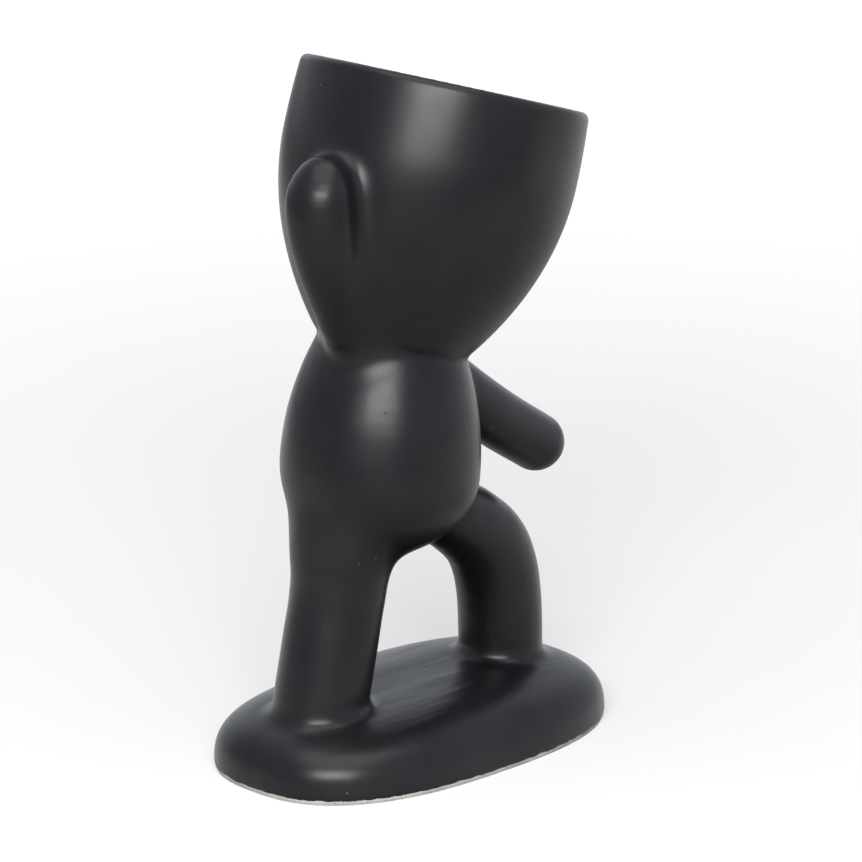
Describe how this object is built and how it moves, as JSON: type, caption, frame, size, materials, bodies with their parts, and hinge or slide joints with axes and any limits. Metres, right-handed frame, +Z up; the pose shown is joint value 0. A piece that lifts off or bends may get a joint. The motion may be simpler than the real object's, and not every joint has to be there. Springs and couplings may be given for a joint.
{
  "type": "plant pot",
  "caption": "Figure plant pot in satin black glazed ceramic: the open egg-shaped head of a plain stepping figure holds the plant, on an oval plinth.",
  "frame": {"origin": "centre of the plinth's underside, on the surface that the pot stands on", "axes": "+Z up; +X along the plinth's length, from the standing foot to the stepping foot; +Y across the plinth, to the figure's back"},
  "size_m": [0.1416, 0.0938, 0.2267],
  "materials": {
    "black_glaze": "satin black glaze with fine pits and a soft sheen",
    "bare_clay": "unglazed fired clay, dry and matte"
  },
  "bodies": {
    "root": {"head_cup": "black_glaze", "torso": "black_glaze", "raised_arm": "black_glaze", "lowered_arm": "black_glaze", "standing_leg": "black_glaze", "stepping_leg": "black_glaze", "plinth": "black_glaze", "dry_foot": "bare_clay"}
  },
  "joints": []
}
